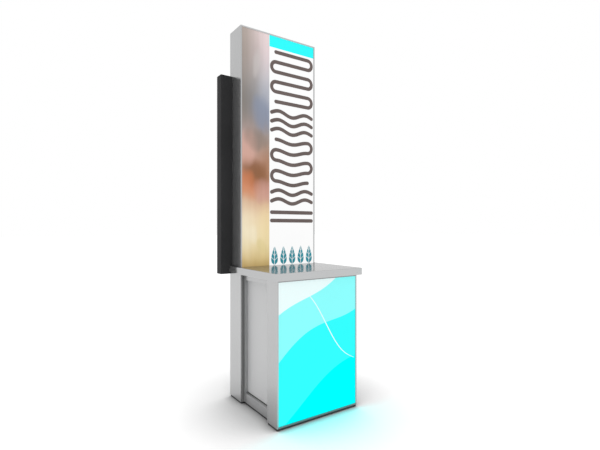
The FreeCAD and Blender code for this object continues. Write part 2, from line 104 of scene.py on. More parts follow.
class Nodes:
    """The node tree of one material, with its main shader and a few short ways to add to it."""

    def __init__(self, material: bpy.types.Material) -> None:
        """Clear the tree and join a plain shader to its output.

        Args:
            material: The material whose tree is built.
        """
        material.use_nodes = True
        self.tree = material.node_tree
        self.tree.nodes.clear()
        self.shader = self.add("BsdfPrincipled")
        self.add("OutputMaterial", surface=self.shader.outputs["BSDF"])

    def fill(self, socket: Socket, value: Feed) -> None:
        """Give a socket a value, or join it to another socket.

        Args:
            socket: The input to fill.
            value: A number, a colour, a vector, or the socket that feeds it.
        """
        if isinstance(value, Socket):
            self.tree.links.new(value, socket)
        elif isinstance(value, tuple) and socket.type == "RGBA":
            socket.default_value = (*value[:3], 1.0)
        else:
            socket.default_value = value

    def surface(self, **values: Feed) -> None:
        """Set inputs of the main shader by the short names that SHADER_INPUTS gives them."""
        for name, value in values.items():
            self.fill(self.shader.inputs[SHADER_INPUTS[name]], value)

    def add(self, kind: str, **inputs: Feed) -> bpy.types.Node:
        """Add a node and fill its inputs.

        Args:
            kind: The node's type, as it follows the word ShaderNode.
            inputs: Values by the inputs' names, in small letters with underscores.

        Returns:
            The new node.
        """
        node = self.tree.nodes.new("ShaderNode" + kind)
        for name, value in inputs.items():
            self.fill(node.inputs[name.replace("_", " ").title()], value)
        return node

    def place(self, scale: Point = (1.0, 1.0, 1.0), offset: Point = (0.0, 0.0, 0.0)) -> Socket:
        """The point on the object in metres, stretched by a scale and then moved."""
        point = self.add("TexCoord").outputs["Object"]
        return self.add("Mapping", vector=point, location=offset, scale=scale).outputs["Vector"]

    def axes(self, vector: Socket) -> tuple[Socket, Socket, Socket]:
        """Split a vector into its three numbers."""
        return tuple(self.add("SeparateXYZ", vector=vector).outputs)

    def noise(self, vector: Socket, scale: float, detail: float, rough: float = 0.5) -> Socket:
        """A soft random pattern about one half, with finer layers of a strength added to it."""
        node = self.add("TexNoise", vector=vector, scale=scale, detail=detail, roughness=rough)
        return node.outputs["Fac"]

    def remap(self, value: Socket, low: float, high: float,
              to_low: float, to_high: float, soft: bool = False) -> Socket:
        """Carry a range of numbers over to another one, clamped at its ends.

        Args:
            value: The number to carry over.
            low: Where the old range starts.
            high: Where it ends.
            to_low: What its start becomes.
            to_high: What its end becomes.
            soft: Ease in and out of the ends instead of a straight line.

        Returns:
            The new number's socket.
        """
        node = self.add("MapRange", value=value, from_min=low, from_max=high, to_min=to_low,
                        to_max=to_high)
        if soft:
            node.interpolation_type = "SMOOTHSTEP"
        return node.outputs["Result"]

    def waver(self, pattern: Socket, reach: float, middle: float = 0.0, low: float = 0.3,
              high: float = 0.7) -> Socket:
        """A number that a pattern between low and high moves by a reach about a middle."""
        return self.remap(pattern, low, high, middle - reach, middle + reach)

    def math(self, work: str, first: Feed, second: Feed = 0.0) -> Socket:
        """One sum on two numbers.

        Args:
            work: The sum's name as the node calls it, such as ADD.
            first: The first number.
            second: The second number.

        Returns:
            The result's socket.
        """
        node = self.add("Math")
        node.operation = work
        self.fill(node.inputs[0], first)
        self.fill(node.inputs[1], second)
        return node.outputs["Value"]

    def mix(self, share: Feed, first: Feed, second: Feed, blend: str = "MIX") -> Socket:
        """Blend two colours.

        Args:
            share: How much of the second colour, 0 to 1.
            first: The colour at 0.
            second: The colour at 1.
            blend: The way that they are blended.

        Returns:
            The colour's socket.
        """
        node = self.add("Mix")
        node.data_type = "RGBA"
        node.blend_type = blend
        self.fill(node.inputs["Factor"], share)
        self.fill(node.inputs[6], first)
        self.fill(node.inputs[7], second)
        return node.outputs[2]

    def grey(self, value: Socket) -> Socket:
        """A grey colour as light as a number says."""
        return self.add("CombineColor", red=value, green=value, blue=value).outputs["Color"]

    def tone(self, pattern: Socket, low: float, high: float, darkest: float,
             lightest: float) -> Socket:
        """A grey that a pattern between low and high makes lighter, to shade a colour with."""
        return self.grey(self.remap(pattern, low, high, darkest, lightest))

    def shade(self, first: Feed, second: Feed) -> Socket:
        """Multiply two colours."""
        return self.mix(1.0, first, second, "MULTIPLY")

    def relief(self, height: Socket, depth: float) -> None:
        """Raise the surface's shading by a pattern, so many metres deep."""
        bump = self.add("Bump", distance=depth, height=height)
        self.fill(self.shader.inputs["Normal"], bump.outputs["Normal"])


@dataclass(frozen=True)
class Finish:
    """A finish that several pieces may share: its material's name and its slot in the record."""

    name: str
    slot: str

    def material(self) -> bpy.types.Material:
        """The finish's material, made the first time that it is asked for."""
        known = bpy.data.materials.get(self.name)
        if known is None:
            known = bpy.data.materials.new(self.name)
            self.paint(Nodes(known))
        return known

    def paint(self, nodes: Nodes) -> None:
        """Build the finish's nodes."""
        raise NotImplementedError


@dataclass(frozen=True)
class SatinMetal(Finish):
    """Anodised or mill metal with very fine streaks along the way that it was drawn."""

    colour: Colour
    roughness: float
    grain: Grain
    streak: float = 0.035
    metal_share: float = 0.86
    edge_shine: float = 1.0
    relief_depth: float = 0.4e-6
    lines_across: float = 700.0
    lines_along: float = 2.2
    drift: float = 0.012
    wander: float = 0.03

    def paint(self, nodes: Nodes) -> None:
        """Streaks are a noise stretched along the grain; they shade colour and roughness."""
        scale = [self.lines_across] * 3
        scale[self.grain.value] = self.lines_along
        lines = nodes.noise(nodes.place(tuple(scale)), 1.0, 3.0, 0.65)
        clouds = nodes.noise(nodes.place(), 2.6, 2.0)
        tone = nodes.math("ADD", nodes.waver(lines, self.streak, 1.0, 0.2, 0.8),
                          nodes.waver(clouds, self.drift))
        nodes.surface(base=nodes.shade(self.colour, nodes.grey(tone)),
                      metallic=self.metal_share,
                      edge_shine=(self.edge_shine, self.edge_shine, self.edge_shine),
                      roughness=nodes.waver(lines, self.wander, self.roughness, 0.2, 0.8))
        nodes.relief(lines, self.relief_depth)


@dataclass(frozen=True)
class TexturedCoat(Finish):
    """Baked powder coat: a fine even grain over a matt colour."""

    colour: Colour
    roughness: float = 0.55
    gloss: float = 0.35
    grains_per_metre: float = 1400.0
    relief_depth: float = 0.03 * MM
    wander: float = 0.05

    def paint(self, nodes: Nodes) -> None:
        """A fine noise lifts the surface, and a broad one shifts its tone a little."""
        point = nodes.place()
        grains = nodes.noise(point, self.grains_per_metre, 2.0)
        clouds = nodes.noise(point, 4.0, 2.0)
        nodes.surface(base=nodes.shade(self.colour, nodes.tone(clouds, 0.3, 0.7, 0.9, 1.1)),
                      roughness=nodes.waver(grains, self.wander, self.roughness),
                      gloss=self.gloss)
        nodes.relief(grains, self.relief_depth)


@dataclass(frozen=True)
class LitSheet(Finish):
    """A sheet lit from behind: part of its colour is thrown back, the rest shines."""

    colour: Colour
    shine: float = 0.55
    gloss: float = 0.0
    roughness: float = 0.45
    clouds_per_metre: float = 3.0
    cloud_detail: float = 1.0
    dimmest: float = 0.985
    brightest: float = 1.0

    def paint(self, nodes: Nodes) -> None:
        """The colour is a little uneven over broad patches."""
        clouds = nodes.noise(nodes.place(), self.clouds_per_metre, self.cloud_detail)
        tone = nodes.tone(clouds, 0.3, 0.7, self.dimmest, self.brightest)
        thrown = tuple(part * (1.0 - self.shine) for part in self.colour)
        nodes.surface(base=nodes.shade(thrown, tone), glow=nodes.shade(self.colour, tone),
                      glow_strength=self.shine, roughness=self.roughness, gloss=self.gloss)


@dataclass(frozen=True)
class CutFilm(LitSheet):
    """Opaque film cut to shape, with the slight orange peel of its adhesive."""

    shine: float = 0.25
    gloss: float = 0.25
    roughness: float = 0.4
    clouds_per_metre: float = 7.0
    cloud_detail: float = 2.0
    dimmest: float = 0.93
    brightest: float = 1.05
    peels_per_metre: float = 260.0
    relief_depth: float = 0.01 * MM

    def paint(self, nodes: Nodes) -> None:
        """A soft noise of about 4 mm lifts the lit sheet's face."""
        super().paint(nodes)
        nodes.relief(nodes.noise(nodes.place(), self.peels_per_metre, 1.0), self.relief_depth)


@dataclass(frozen=True)
class Spot:
    """A soft round spot in the print: where it is, its size and its colour as shown."""

    across: float
    height: float
    half_width: float
    half_height: float
    shown: Colour
    strength: float


NEAR_RAMP = (
    (0.00, (184, 152, 90)), (0.05, (228, 204, 148)), (0.11, (244, 230, 194)),
    (0.23, (246, 232, 202)), (0.30, (212, 168, 138)), (0.37, (200, 142, 110)),
    (0.45, (208, 162, 146)), (0.54, (186, 160, 154)), (0.63, (142, 134, 128)),
    (0.72, (126, 120, 114)), (0.83, (154, 144, 136)), (0.92, (158, 146, 137)),
    (1.00, (178, 166, 157)),
)
FAR_RAMP = (
    (0.00, (178, 148, 88)), (0.05, (226, 200, 138)), (0.12, (244, 226, 176)),
    (0.24, (244, 220, 172)), (0.31, (202, 154, 136)), (0.38, (168, 120, 88)),
    (0.46, (174, 132, 108)), (0.54, (166, 144, 130)), (0.63, (150, 150, 156)),
    (0.71, (164, 170, 184)), (0.81, (200, 198, 203)), (0.90, (226, 210, 212)),
    (1.00, (238, 218, 218)),
)
SPOTS = (
    Spot(0.46, 0.400, 0.62, 0.080, (122, 76, 36), 0.72),
    Spot(0.16, 0.350, 0.50, 0.070, (216, 128, 84), 0.55),
    Spot(0.80, 0.330, 0.50, 0.055, (208, 158, 146), 0.6),
    Spot(0.24, 0.500, 0.48, 0.085, (218, 172, 158), 0.6),
    Spot(0.74, 0.655, 0.50, 0.090, (134, 144, 166), 0.7),
    Spot(0.58, 0.545, 0.46, 0.060, (128, 116, 106), 0.5),
    Spot(0.34, 0.160, 0.30, 0.060, (248, 236, 206), 0.6),
    Spot(0.70, 0.105, 0.26, 0.040, (226, 208, 148), 0.5),
    Spot(0.50, 0.860, 0.26, 0.070, (206, 200, 198), 0.5),
)


@dataclass(frozen=True)
class SoftPicture(Finish):
    """A backlit print of soft, unsharp colours that melt into each other down its height."""

    bottom: float
    top: float
    left: float
    right: float
    shine: float = 0.5
    roughness: float = 0.4
    gloss: float = 0.15
    sway: float = 0.05
    drift: float = 0.12
    bend: float = 0.16

    def paint(self, nodes: Nodes) -> None:
        """Two ramps of colours up the height blend across the width, under soft round spots.

        Slow waves bend the height before it is read. A spot's strength falls with the distance
        from its middle, measured in its own half width and half height. Fine upright streaks
        lighten and darken the whole print by a few percent.
        """
        x, _, z = nodes.axes(nodes.place())
        across = nodes.remap(x, self.left, self.right, 0.0, 1.0)
        slow = nodes.noise(nodes.place((2.2, 1.0, 1.1), (0.7, 0.0, 3.1)), 2.4, 2.0, 0.45)
        height = nodes.math("ADD", nodes.remap(z, self.bottom, self.top, 0.0, 1.0),
                            nodes.waver(slow, self.sway, 0.0, 0.0, 1.0))
        broad = nodes.noise(nodes.place((3.0, 1.0, 0.9), (0.0, 0.0, 7.7)), 2.0, 1.0)
        side = nodes.math("ADD", across, nodes.waver(broad, self.drift))
        colour = nodes.mix(nodes.remap(side, 0.0, 0.95, 0.0, 1.0, soft=True),
                           self.ramp(nodes, height, NEAR_RAMP), self.ramp(nodes, height, FAR_RAMP))
        quick = nodes.noise(nodes.place((9.0, 1.0, 3.0), (4.0, 0.0, 0.0)), 1.0, 1.0)
        bent = nodes.math("ADD", across, nodes.waver(quick, self.bend))
        for spot in SPOTS:
            colour = nodes.mix(self.spot_strength(nodes, bent, height, spot), colour,
                               display_colour(*spot.shown))
        streaks = nodes.noise(nodes.place((38.0, 1.0, 1.6)), 1.0, 2.0)
        colour = nodes.shade(colour, nodes.tone(streaks, 0.25, 0.75, 0.97, 1.025))
        thrown = 1.0 - self.shine
        nodes.surface(base=nodes.shade(colour, (thrown, thrown, thrown)), glow=colour,
                      glow_strength=self.shine, roughness=self.roughness, gloss=self.gloss)

    def spot_strength(self, nodes: Nodes, across: Socket, height: Socket, spot: Spot) -> Socket:
        """How strongly a spot covers each point.

        Args:
            nodes: The tree to add to.
            across: The share of the width, 0 to 1.
            height: The share of the height, 0 to 1.
            spot: The spot.

        Returns:
            The strength's socket.
        """
        squares = []
        for way, middle, half in ((across, spot.across, spot.half_width),
                                  (height, spot.height, spot.half_height)):
            share = nodes.math("DIVIDE", nodes.math("SUBTRACT", way, middle), half)
            squares.append(nodes.math("POWER", nodes.math("ABSOLUTE", share), 2.0))
        return nodes.remap(nodes.math("ADD", *squares), 0.0, 1.0, spot.strength, 0.0, soft=True)

    def ramp(self, nodes: Nodes, height: Socket, stops: tuple) -> Socket:
        """A ramp of colours over a height from 0 to 1.

        Args:
            nodes: The tree to add to.
            height: Where on the ramp to read.
            stops: Pairs of a height and a colour as shown, 0 to 255.

        Returns:
            The colour's socket.
        """
        node = nodes.add("ValToRGB", fac=height)
        elements = node.color_ramp.elements
        node.color_ramp.interpolation = "B_SPLINE"
        while len(elements) < len(stops):
            elements.new(0.5)
        for element, (place, shown) in zip(elements, stops):
            element.position = place
            element.color = (*display_colour(*shown), 1.0)
        return node.outputs["Color"]


@dataclass(frozen=True)
class DarkScreen(Finish):
    """Toughened glass over a switched-off panel, printed black round its picture area."""

    colour: Colour
    border: Colour
    middle_x: float
    middle_z: float
    half_width: float
    half_height: float
    gloss: float = 0.2

    def paint(self, nodes: Nodes) -> None:
        """Inside the picture area the glass is a shade lighter than the printed border."""
        x, _, z = nodes.axes(nodes.place())
        reach_x = nodes.math("ABSOLUTE", nodes.math("SUBTRACT", x, self.middle_x))
        reach_z = nodes.math("ABSOLUTE", nodes.math("SUBTRACT", z, self.middle_z))
        inside = nodes.math("MULTIPLY", nodes.math("LESS_THAN", reach_x, self.half_width),
                            nodes.math("LESS_THAN", reach_z, self.half_height))
        haze = nodes.noise(nodes.place(), 9.0, 3.0)
        nodes.surface(base=nodes.mix(inside, self.border, self.colour),
                      roughness=nodes.remap(haze, 0.3, 0.7, 0.06, 0.09), gloss=self.gloss)


@dataclass(frozen=True)
class MouldedPlastic(Finish):
    """Plain moulded plastic or rubber with a faint matt grain."""

    colour: Colour
    roughness: float = 0.6
    gloss: float = 0.3
    grains_per_metre: float = 1900.0
    relief_depth: float = 0.02 * MM
    wander: float = 0.06

    def paint(self, nodes: Nodes) -> None:
        """A half-millimetre grain and a slow drift in roughness."""
        point = nodes.place()
        grains = nodes.noise(point, self.grains_per_metre, 1.0)
        clouds = nodes.noise(point, 11.0, 2.0)
        nodes.surface(base=self.colour, gloss=self.gloss,
                      roughness=nodes.waver(clouds, self.wander, self.roughness))
        nodes.relief(grains, self.relief_depth)


FRAME_TONE = (0.455, 0.457, 0.46)
# Painted shade: the frame's aluminium darkened, for lips and strips that sit in shade.
PAINTED_SHADE_TONE = (0.26, 0.262, 0.265)
UPRIGHT_FRAME = SatinMetal("satin_frame_upright", "frame_aluminium", FRAME_TONE, 0.23,
                           Grain.ALONG_Z)
# The tower's top profile: the frame's aluminium painted lighter, a painted highlight on the top
# edge.
HEAD_FRAME_PAINTED_LIGHT = SatinMetal("satin_frame_head_painted_light", "frame_aluminium", (0.54, 0.542, 0.545), 0.23,
                        Grain.ALONG_X)
LEVEL_FRAME = SatinMetal("satin_frame_level", "frame_aluminium", FRAME_TONE, 0.23,
                         Grain.ALONG_X)
# The front box's top and bottom lips: painted shade under the counter and by the floor.
SHADED_LIP_FRAME = SatinMetal("satin_frame_lip_painted_shade", "frame_aluminium", PAINTED_SHADE_TONE, 0.23, Grain.ALONG_X)
RAIL_METAL = SatinMetal("satin_rail", "frame_aluminium", FRAME_TONE, 0.30, Grain.ALONG_Y)
SKIN_METAL = SatinMetal("satin_skin", "skin_aluminium", (0.53, 0.532, 0.535), 0.42,
                        Grain.ALONG_Z, 0.03, 0.25)
# The cabinet's back sheet: the skin's aluminium painted darker, painted shade in its recess.
SHADED_BACK_METAL = SatinMetal("satin_back_painted_shade", "skin_aluminium", (0.34, 0.342, 0.345), 0.42,
                        Grain.ALONG_Z, 0.03, 0.25)
# The joint strips: painted shade for the deep slot beside the tower.
SHADED_STRIP_METAL = SatinMetal("satin_strip_painted_shade", "skin_aluminium", PAINTED_SHADE_TONE, 0.42, Grain.ALONG_Z,
                         0.03, 0.25)
INNER_METAL = SatinMetal("mill_inner", "inner_aluminium", (0.42, 0.42, 0.42), 0.42,
                         Grain.ALONG_X, 0.06)
COUNTER_METAL = SatinMetal("satin_counter", "counter_aluminium", (0.472, 0.476, 0.48), 0.14,
                           Grain.ALONG_X, 0.015, edge_shine=0.7)
HOUSING_COAT = TexturedCoat("housing_coat", "housing_black", (0.032, 0.032, 0.033), gloss=0.05)
PLATE_COAT = TexturedCoat("plate_coat", "plate_steel", (0.05, 0.05, 0.05))
PLINTH_PLASTIC = MouldedPlastic("plinth_plastic", "plinth_black", (0.04, 0.04, 0.042))
GASKET_RUBBER = MouldedPlastic("gasket_rubber", "gasket_black", (0.05, 0.05, 0.05), 0.7, 0.2)
# The joint seal's rubber: a dark strip that stands in for the shade in the slot by the tower.
SHADE_SEAL_RUBBER = MouldedPlastic("seal_rubber_painted_shade", "gasket_black", (0.15, 0.15, 0.15), 0.7, 0.2)
WHITE_LIGHT = LitSheet("lit_white", "white_light_panel", (0.99, 0.99, 0.99), 0.85, 0.1)
STRONG_CYAN = LitSheet("lit_cyan_strong", "cyan_film", display_colour(0, 255, 255))
CLEAR_CYAN = LitSheet("lit_cyan_clear", "cyan_light_panel", display_colour(54, 255, 255))
CLEAR_FILM = LitSheet("film_cyan_clear", "cyan_film", display_colour(54, 255, 255))
LIGHT_CYAN = LitSheet("lit_cyan_light", "cyan_film", display_colour(143, 255, 255))
PALE_CYAN = LitSheet("lit_cyan_pale", "pale_film", display_colour(239, 255, 255))
DARK_FILM = CutFilm("dark_film", "dark_film", display_colour(104, 91, 88))
TEAL_FILM = CutFilm("teal_film", "teal_film", display_colour(46, 148, 164))


def add_object(name: str, data: bpy.types.ID) -> bpy.types.Object:
    """Put a new object with this data into the scene."""
    new = bpy.data.objects.new(name, data)
    bpy.context.scene.collection.objects.link(new)
    return new


def dress(finish: Finish, *names: str) -> None:
    """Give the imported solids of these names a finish."""
    for name in names:
        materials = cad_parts[name].data.materials
        materials.clear()
        materials.append(finish.material())
        log.info("dressed %s with %s", name, finish.name)


def skin_faces(rows: int, columns: int, ring: bool = False) -> Array:
    """The four-cornered faces between closed loops of vertices, numbered loop by loop.

    Args:
        rows: How many loops.
        columns: How many vertices each loop has.
        ring: The last loop joins the first one.

    Returns:
        Four vertex numbers for each face.
    """
    row = np.arange(rows if ring else rows - 1)[:, None]
    column = np.arange(columns)[None, :]
    next_row = (row + 1) % rows
    next_column = (column + 1) % columns
    corners = [row * columns + column, row * columns + next_column,
               next_row * columns + next_column, next_row * columns + column]
    return np.stack(corners, axis=-1).reshape(-1, 4)


def cap_faces(start: int, count: int) -> Array:
    """Faces that close one end of a loop, from its first and last vertices to its middle.

    Args:
        start: The loop's first vertex.
        count: How many vertices it has, an even number.

    Returns:
        Four vertex numbers for each face.
    """
    out = np.arange(count // 2 - 1)
    home = count - 1 - out
    return start + np.stack([out, out + 1, home - 1, home], axis=1)


def bar_faces(rows: int, columns: int) -> Array:
    """The faces of a bar made of closed loops: its skin, then its first and its last end.

    Args:
        rows: How many loops.
        columns: How many vertices each loop has, an even number.

    Returns:
        Four vertex numbers for each face.
    """
    ends = [cap_faces(start, columns) for start in (0, (rows - 1) * columns)]
    return np.concatenate([skin_faces(rows, columns), *ends])


def make_piece(name: str, vertices: Array, faces: Array, finish: Finish) -> bpy.types.Object:
    """Make one piece from whole arrays, close its poles and let it ride on the kiosk.

    Args:
        name: The piece's name.
        vertices: One line of x, y and z in metres for each vertex.
        faces: One line of four vertex numbers for each face.
        finish: The piece's finish, whose material it gets.

    Returns:
        The new object.
    """
    mesh = bpy.data.meshes.new(name)
    mesh.from_pydata(vertices, [], faces)
    shell = bmesh.new()
    shell.from_mesh(mesh)
    bmesh.ops.remove_doubles(shell, verts=shell.verts, dist=WELD)
    bmesh.ops.dissolve_degenerate(shell, edges=shell.edges, dist=WELD)
    bmesh.ops.recalc_face_normals(shell, faces=shell.faces)
    shell.to_mesh(mesh)
    shell.free()
    mesh.shade_flat()
    mesh.materials.append(finish.material())
    piece = add_object(name, mesh)
    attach(piece, BODY)
    log.info("made %s: %d faces", name, len(mesh.polygons))
    return piece


@dataclass(frozen=True)
class Face:
    """The front of a lit sheet: the upright rectangle that films are laid on."""

    left: float
    right: float
    bottom: float
    top: float
    front: float

    def width(self) -> float:
        """How wide the face is."""
        return self.right - self.left

    def height(self) -> float:
        """How high the face is."""
        return self.top - self.bottom

    def lay(self, x: Array, z: Array, depth: Array) -> Array:
        """The vertices at x and z that stand off the face by a depth, one line for each."""
        return np.stack(np.broadcast_arrays(x, self.front - depth, z), axis=-1).reshape(-1, 3)


def open_face(sheet: str, left: float, right: float, bottom: float, top: float) -> Face:
    """The part of a sheet that its frame leaves open.

    Args:
        sheet: The sheet's node.
        left: The frame's inner edge on the left.
        right: The same on the right.
        bottom: The same below.
        top: The same above.

    Returns:
        The face, no larger than the sheet.
    """
    low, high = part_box(sheet)
    return Face(max(left, low[0]), min(right, high[0]), max(bottom, low[2]),
                min(top, high[2]), low[1])


@dataclass(frozen=True)
class FilmCut:
    """How a film is cut: its thickness, its edge's slope, and the thinnest point it runs to."""

    thickness: float = 0.22 * MM
    slope: float = 0.15 * MM
    lift: float = 0.0
    thinnest: float = 0.1 * MM

    def levels(self) -> tuple[float, float]:
        """How far the film's back and its front stand off the sheet."""
        return self.lift, self.lift + self.thickness

    def loop(self, count: int) -> Array:
        """How far a loop stands off the sheet: a number of points in front, then behind."""
        return np.repeat(self.levels()[::-1], count)


def ribbon(name: str, path: Array, width: "float | Array", face: Face, finish: Finish,
           cut: FilmCut = FilmCut()) -> bpy.types.Object:
    """A strip of film along a path, with round ends.

    Each point of the path is moved sideways by a share of half the width along the path's
    normal. The cross profile is a flat bar whose front edges slope. Past each end the half
    width falls as the square root of one minus the square of the way, which is a half circle.

    Args:
        name: The piece's name.
        path: One line of x and z for each point of the centre line.
        width: The strip's width, one number or one for each point.
        face: The sheet's face that it lies on.
        finish: The film.
        cut: Its thickness and edge.

    Returns:
        The new piece.
    """
    half = np.broadcast_to(np.asarray(width, dtype=float) / 2.0, (len(path),)).copy()
    ahead = np.gradient(path, axis=0)
    ahead /= np.linalg.norm(ahead, axis=1, keepdims=True)
    turn = np.linspace(0.0, math.pi / 2.0, END_STEPS + 1)[:-1]
    first = path[0] - ahead[0] * half[0] * np.cos(turn)[:, None]
    last = path[-1] + ahead[-1] * half[-1] * np.cos(turn)[::-1, None]
    centre = np.concatenate([first, path, last])
    half = np.concatenate([half[0] * np.sin(turn), half, half[-1] * np.sin(turn)[::-1]])
    along = np.pad(ahead, ((END_STEPS, END_STEPS), (0, 0)), mode="edge")
    sideways = np.stack([-along[:, 1], along[:, 0]], axis=1)
    back, front = cut.levels()
    inner = np.maximum(half - cut.slope, 0.0)
    reach = np.stack([-half, -half, -inner, inner, half, half], axis=1)
    middle = (back + front) / 2.0
    depth = np.array([back, middle, front, front, middle, back])
    flat = centre[:, None, :] + sideways[:, None, :] * reach[:, :, None]
    faces = skin_faces(len(centre), len(depth))
    return make_piece(name, face.lay(flat[..., 0], flat[..., 1], depth), faces, finish)


def level(height: float) -> Curve:
    """A curve that keeps one height along x."""
    return lambda x: np.full_like(x, height)


def field_film(name: str, left: float, right: float, low: Curve, high: Curve, face: Face,
               finish: Finish, steps: int = 96) -> bpy.types.Object:
    """A film that fills the space between two curves.

    The grid runs along x in even steps, over the part where the curves stand apart, and
    between them in even shares, once on the front and once on the back, as one closed loop
    for each step.

    Args:
        name: The piece's name.
        left: Where it starts.
        right: Where it ends.
        low: The lower curve, z for each x.
        high: The upper curve.
        face: The sheet's face that it lies on.
        finish: The film.
        steps: Points along x.

    Returns:
        The new piece.
    """
    cut = FilmCut()
    fine = np.linspace(left, right, FINE_STEPS)
    apart = fine[high(fine) - low(fine) > cut.thinnest]
    x = np.linspace(apart[0], apart[-1], steps)
    bottom, top = low(x), high(x)
    shares = np.linspace(0.0, 1.0, FILM_ROWS)
    share = np.concatenate([shares, shares[::-1]])
    z = bottom[:, None] + (top - bottom)[:, None] * share[None, :]
    vertices = face.lay(x[:, None], z, cut.loop(len(shares)))
    return make_piece(name, vertices, bar_faces(steps, len(share)), finish)


@dataclass
class TowerLightBox:
    """The tall light box: frame, sheets, and the film design on its lit face."""

    lip: float = 10.0 * MM
    band_height: float = 84.0 * MM
    trim: float = 0.3 * MM
    stroke: float = 28.0 * MM
    stroke_start: float = 30.0 * MM
    group_gap: float = 84.0 * MM
    upper_pitch: float = 74.0 * MM
    lower_pitch: float = 78.0 * MM
    lower_sag: float = 26.0 * MM
    wave_pitch: float = 66.0 * MM
    wave_swing: float = 17.0 * MM
    wave_count: float = 1.5
    bar_pitch: float = 62.0 * MM
    run_points: int = 40
    turn_points: int = 18
    margin: float = 5.0 * MM
    leaf_count: int = 5
    leaf_height: float = 138.0 * MM
    leaf_width: float = 54.0 * MM
    leaf_gap: float = 4.0 * MM
    leaf_foot: float = 1.0 * MM
    leaf_belly: float = 0.6
    vein_count: int = 4
    vein_lean: float = 0.6
    leaf_columns: int = 7
    leaf_rows: int = 9

    def sign_face(self) -> Face:
        """The open part of the lit sheet above the counter."""
        right, _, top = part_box("tower_right_profile")[1]
        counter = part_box("counter_top")[1][2]
        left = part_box("tower_sign_panel")[0][0]
        return open_face("tower_sign_panel", left, right - self.lip, counter, top - self.lip)

    def dress(self) -> None:
        """Finish the frame, the sheets and the bars behind them."""
        dress(UPRIGHT_FRAME, "tower_left_profile", "tower_right_profile")
        # The top profile is painted lighter than the uprights: painted highlight.
        dress(HEAD_FRAME_PAINTED_LIGHT, "tower_top_profile")
        dress(LEVEL_FRAME, "tower_bottom_profile")
        dress(SKIN_METAL, "tower_lower_front_panel", "tower_back_panel")
        dress(INNER_METAL, "tower_transom", "tower_mullion")
        dress(WHITE_LIGHT, "tower_sign_panel")
        low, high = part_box("tower_picture_panel")
        dress(SoftPicture("soft_picture", "picture_print", low[2], high[2], low[0], high[0]),
              "tower_picture_panel")

    def build(self) -> None:
        """Lay the films on the lit sheet."""
        face = self.sign_face()
        self.top_band(face)
        self.strokes(face)
        self.leaves(face)

    def top_band(self, face: Face) -> None:
        """A straight band of strong colour along the top edge."""
        field_film("sign_top_band", face.left + 0.5 * MM, face.right - self.trim,
                   level(face.top - self.band_height), level(face.top - self.trim), face,
                   CLEAR_FILM, steps=24)

    def strokes(self, face: Face) -> None:
        """The column of broad dark lines: two winding ones, with waves and bars between."""
        place = face.top - self.band_height - self.stroke_start
        place = self.meander("sign_upper_winding", face, place, 6, self.upper_pitch, 0.0)
        place = self.lines("sign_upper_wave", face, place - self.group_gap, 3, self.wave_pitch,
                           self.wave_swing)
        place = self.meander("sign_lower_winding", face, place - self.wave_pitch, 5,
                             self.lower_pitch, self.lower_sag)
        place = self.lines("sign_lower_wave", face, place - self.group_gap, 2, self.wave_pitch,
                           self.wave_swing)
        self.lines("sign_bar", face, place - self.group_gap, 2, self.bar_pitch, 0.0, 8)

    def ends(self, face: Face) -> tuple[float, float]:
        """Where the dark lines end on the left and on the right."""
        reach = self.stroke / 2.0
        return face.left + self.margin + reach, face.right - self.margin - reach

    def meander(self, name: str, face: Face, top: float, runs: int, pitch: float,
                tilt: float) -> float:
        """One line that runs from side to side and turns back in half circles.

        Run number k lies at the top less k times the pitch, every second one is taken
        backwards, and the turn between two runs is a half circle of half the pitch. A tilt
        lowers the middle of each run as the square of a half sine wave does.

        Args:
            name: The piece's name.
            face: The sheet's face.
            top: The level of the first run.
            runs: How many runs.
            pitch: From one run to the next.
            tilt: How far the middle of a run hangs.

        Returns:
            The level of the last run.
        """
        left, right = self.ends(face)
        radius = pitch / 2.0
        share = np.linspace(0.0, 1.0, self.run_points)
        turn = np.linspace(0.0, math.pi, self.turn_points)[1:-1]
        parts = []
        for run in range(runs):
            place = top - pitch * run
            forward = run % 2 == 0
            way = share if forward else share[::-1]
            x = left + radius + (right - left - pitch) * way
            parts.append(np.stack([x, place - tilt * np.sin(np.pi * way) ** 2], axis=1))
            if run < runs - 1:
                end, side = (right - radius, 1.0) if forward else (left + radius, -1.0)
                parts.append(np.stack([end + side * radius * np.sin(turn),
                                       place - radius + radius * np.cos(turn)], axis=1))
        ribbon(name, np.concatenate(parts), self.stroke, face, DARK_FILM)
        return top - pitch * (runs - 1)

    def lines(self, name: str, face: Face, top: float, count: int, pitch: float,
              swing: float, points: int = 90) -> float:
        """Parallel lines: z is the level plus the swing times the sine of the way across.

        Args:
            name: The pieces' name, with a number after it.
            face: The sheet's face.
            top: The level of the first one.
            count: How many.
            pitch: From one to the next.
            swing: How far they rise and fall; none leaves straight bars.
            points: Points along each line.

        Returns:
            The level of the last one.
        """
        left, right = self.ends(face)
        x = np.linspace(left, right, points)
        wave = swing * np.sin(2.0 * np.pi * self.wave_count * (x - left) / (right - left))
        for number in range(count):
            path = np.stack([x, top - pitch * number + wave], axis=1)
            ribbon(f"{name}_{number + 1}", path, self.stroke, face, DARK_FILM)
        return top - pitch * (count - 1)

    def leaves(self, face: Face) -> None:
        """A row of upright leaves above the counter."""
        pitch = (face.width() - 2.0 * self.margin) / self.leaf_count
        for number in range(self.leaf_count):
            middle = face.left + self.margin + pitch * (number + 0.5)
            self.leaf(f"sign_leaf_{number + 1}", middle, face.bottom + self.leaf_foot, face)

